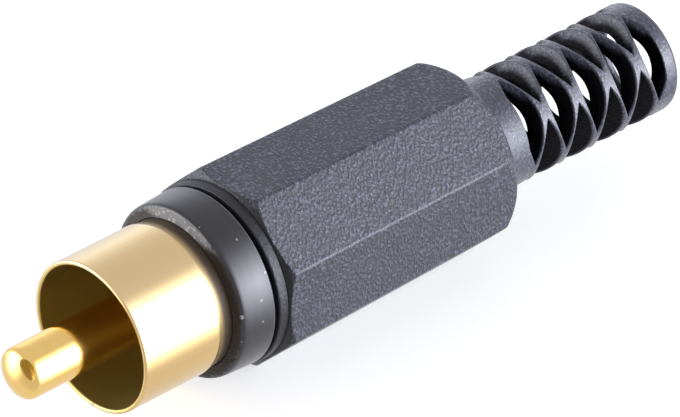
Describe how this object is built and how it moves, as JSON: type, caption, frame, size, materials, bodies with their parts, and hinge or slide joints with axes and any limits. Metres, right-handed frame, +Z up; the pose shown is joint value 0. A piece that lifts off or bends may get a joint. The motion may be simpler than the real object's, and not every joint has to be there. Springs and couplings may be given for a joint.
{
  "type": "rca plug",
  "caption": "Phono (RCA) cable plug: gold contact sleeve and centre pin in a black collar, with an octagonal screw cap moulded in one with its slotted bend relief.",
  "frame": {"origin": "on the plug's axis, in the plane of the contact sleeve's front rim", "axes": "+X along the axis from the pin towards the cable end, +Z up with the plug lying on one of the cap's flats"},
  "size_m": [0.0477, 0.0112, 0.0112],
  "materials": {
    "gold_plate": "bright gold plating on brass",
    "insulator": "dark moulded insulating plastic",
    "collar_plastic": "satin black plastic with a grained front face",
    "tab_metal": "stamped plated brass",
    "cap_plastic": "charcoal plastic with a spark-eroded grain"
  },
  "bodies": {
    "plug": {"centre_pin": "gold_plate", "contact_sleeve": "gold_plate", "pin_insulator": "insulator", "front_collar": "collar_plastic", "ground_tab": "tab_metal"},
    "cap": {"cap": "cap_plastic"}
  },
  "joints": [
    {"name": "cap_draw_off", "type": "slide", "parent": "plug", "child": "cap", "axis": [1, 0, 0], "range_m": [0, 0.018]}
  ]
}
